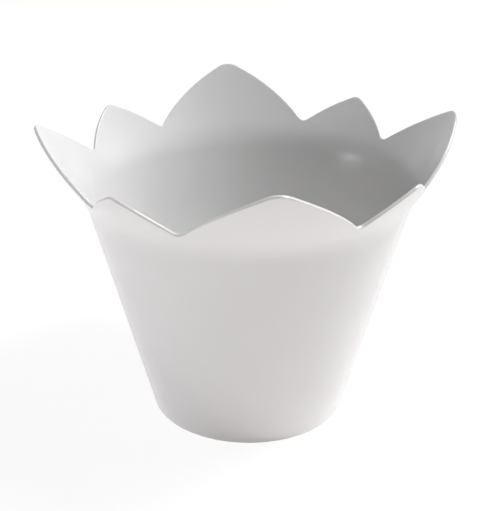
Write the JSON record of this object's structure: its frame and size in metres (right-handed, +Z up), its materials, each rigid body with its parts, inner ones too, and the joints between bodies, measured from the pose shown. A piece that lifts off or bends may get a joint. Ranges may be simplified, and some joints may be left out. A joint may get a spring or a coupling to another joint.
{
  "type": "finger food cup",
  "caption": "Small white moulded plastic cup with a tapered round body and a flared crown of pointed petals, for single bites of finger food.",
  "frame": {"origin": "middle of the base, on the surface that the cup stands on", "axes": "+Z up along the cup's axis, +X through the middle of a large petal"},
  "size_m": [0.0698, 0.0698, 0.052],
  "materials": {
    "cup": "injection-moulded, smooth gloss"
  },
  "bodies": {
    "root": {"cup": "cup"}
  },
  "joints": []
}
